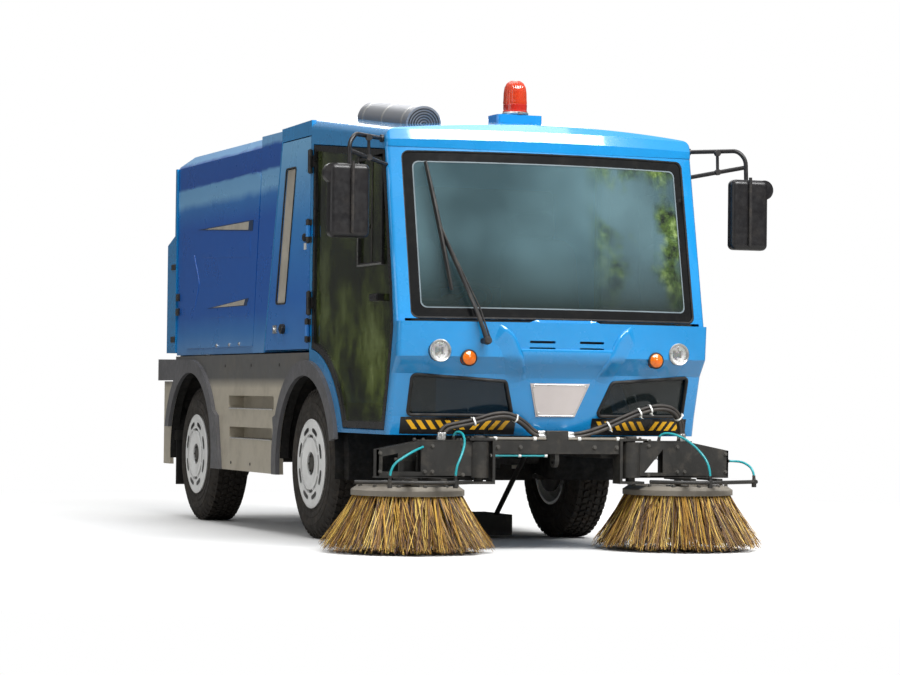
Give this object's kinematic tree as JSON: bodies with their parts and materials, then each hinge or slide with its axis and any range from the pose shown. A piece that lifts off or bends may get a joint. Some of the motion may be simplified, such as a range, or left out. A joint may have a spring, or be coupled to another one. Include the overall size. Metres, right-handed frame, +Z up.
{
  "type": "compact street sweeper truck",
  "caption": "Cab-over street sweeper with two front side brooms, suction nozzle, slanted engine doors and a rear-tipping hopper.",
  "frame": {"origin": "centre of the whole machine's footprint on the ground", "axes": "+Z up, -Y the driving direction, +X the truck's own left side"},
  "size_m": [2.43, 4.694, 2.4066],
  "materials": {
    "body_blue": "light blue gloss paint",
    "panel_grey": "taupe grey satin paint",
    "flare_grey": "grey-blue moulded plastic",
    "frame_black": "black chassis paint",
    "cast_grey": "dark grey casting",
    "tyre": "worn black rubber",
    "rim_white": "white satin wheel trim",
    "glass": "lightly tinted glass",
    "door_black": "black gloss door frame",
    "interior_grey": "grey cab lining",
    "seat_cloth": "dark seat cloth",
    "black_plastic": "black plastic",
    "lamp_clear": "clear lamp glass",
    "lamp_amber": "amber lens",
    "lamp_red": "red lens",
    "plate_grey": "blank pale plate",
    "silver": "brushed silver",
    "broom_plate": "pale broom plate",
    "bristle": "yellow-tan bristles"
  },
  "bodies": {
    "root": {"frame_rails": "frame_black", "frame_crossmembers": "frame_black", "frame_outriggers": "frame_black", "hopper_posts": "frame_black", "hopper_rests": "frame_black", "tipping_brackets": "frame_black", "engine_block": "cast_grey", "front_axle": "frame_black", "rear_axle": "frame_black", "cab_frame": "body_blue", "front_panel": "body_blue", "cab_roof": "body_blue", "cab_glass": "glass", "nose_plate": "plate_grey", "seats": "seat_cloth", "dashboard": "interior_grey", "steering_wheel": "black_plastic", "wiper": "black_plastic", "mirrors": "black_plastic", "headlamps": "lamp_clear", "indicators": "lamp_amber", "beacon_base": "body_blue", "beacon_lens": "lamp_amber", "roof_intake": "silver", "engine_bay": "body_blue", "hinge_pins": "frame_black", "side_skirts": "panel_grey", "wheel_flares": "flare_grey", "rear_bumper": "frame_black", "tail_lamps": "lamp_red", "suction_nozzle": "frame_black", "broom_beam": "frame_black"},
    "knuckle_left": {"knuckle_left": "cast_grey"},
    "knuckle_right": {"knuckle_right": "cast_grey"},
    "door_left": {"door_left": "door_black", "door_glass_left": "glass"},
    "door_right": {"door_right": "door_black", "door_glass_right": "glass"},
    "engine_door_left": {"engine_door_left": "body_blue"},
    "engine_door_right": {"engine_door_right": "body_blue"},
    "hopper": {"hopper": "body_blue"},
    "hopper_door": {"hopper_door": "body_blue"},
    "broom_arm_left": {"broom_arm_left": "frame_black"},
    "broom_arm_right": {"broom_arm_right": "frame_black"},
    "broom_left": {"broom_plate_left": "broom_plate", "broom_bristles_left": "bristle"},
    "broom_right": {"broom_plate_right": "broom_plate", "broom_bristles_right": "bristle"},
    "wheel_front_left": {"tyre_front_left": "tyre", "rim_front_left": "rim_white"},
    "wheel_front_right": {"tyre_front_right": "tyre", "rim_front_right": "rim_white"},
    "wheel_rear_left": {"tyre_rear_left": "tyre", "rim_rear_left": "rim_white"},
    "wheel_rear_right": {"tyre_rear_right": "tyre", "rim_rear_right": "rim_white"}
  },
  "joints": [
    {"name": "steer_left", "type": "hinge", "parent": "root", "child": "knuckle_left", "pos_m": [0.53, -0.583, 0.4], "axis": [0, 0, 1], "range_deg": [-28, 28]},
    {"name": "spin_front_left", "type": "hinge", "parent": "knuckle_left", "child": "wheel_front_left", "pos_m": [0.6825, -0.583, 0.4], "axis": [1, 0, 0], "continuous": true},
    {"name": "spin_rear_left", "type": "hinge", "parent": "root", "child": "wheel_rear_left", "pos_m": [0.6825, 1.654, 0.4], "axis": [1, 0, 0], "continuous": true},
    {"name": "cab_door_left", "type": "hinge", "parent": "root", "child": "door_left", "pos_m": [0.849, -0.657, 1.4], "axis": [0, 0, 1], "range_deg": [0, 85]},
    {"name": "engine_door_left", "type": "hinge", "parent": "root", "child": "engine_door_left", "pos_m": [0.849, -0.635, 1.4], "axis": [0, 0, -1], "range_deg": [0, 85]},
    {"name": "broom_swing_left", "type": "hinge", "parent": "root", "child": "broom_arm_left", "pos_m": [0.41, -2.033, 0.45], "axis": [0, 0, -1], "range_deg": [-12, 20]},
    {"name": "broom_spin_left", "type": "hinge", "parent": "broom_arm_left", "child": "broom_left", "pos_m": [0.733, -1.907, 0.3], "axis": [0, 0, 1], "continuous": true},
    {"name": "steer_right", "type": "hinge", "parent": "root", "child": "knuckle_right", "pos_m": [-0.53, -0.583, 0.4], "axis": [0, 0, 1], "range_deg": [-28, 28]},
    {"name": "spin_front_right", "type": "hinge", "parent": "knuckle_right", "child": "wheel_front_right", "pos_m": [-0.6825, -0.583, 0.4], "axis": [1, 0, 0], "continuous": true},
    {"name": "spin_rear_right", "type": "hinge", "parent": "root", "child": "wheel_rear_right", "pos_m": [-0.6825, 1.654, 0.4], "axis": [1, 0, 0], "continuous": true},
    {"name": "cab_door_right", "type": "hinge", "parent": "root", "child": "door_right", "pos_m": [-0.849, -0.657, 1.4], "axis": [0, 0, -1], "range_deg": [0, 85]},
    {"name": "engine_door_right", "type": "hinge", "parent": "root", "child": "engine_door_right", "pos_m": [-0.849, -0.635, 1.4], "axis": [0, 0, 1], "range_deg": [0, 85]},
    {"name": "broom_swing_right", "type": "hinge", "parent": "root", "child": "broom_arm_right", "pos_m": [-0.41, -2.033, 0.45], "axis": [0, 0, 1], "range_deg": [-12, 20]},
    {"name": "broom_spin_right", "type": "hinge", "parent": "broom_arm_right", "child": "broom_right", "pos_m": [-0.733, -1.907, 0.3], "axis": [0, 0, 1], "continuous": true},
    {"name": "hopper_tip", "type": "hinge", "parent": "root", "child": "hopper", "pos_m": [0, 2.157, 0.962], "axis": [-1, 0, 0], "range_deg": [0, 50]},
    {"name": "hopper_door", "type": "hinge", "parent": "hopper", "child": "hopper_door", "pos_m": [0, 2.099, 2.196], "axis": [1, 0, 0], "range_deg": [0, 80]}
  ],
  "couplings": [
    {"joint": "steer_right", "follows": "steer_left", "ratio": 1}
  ]
}
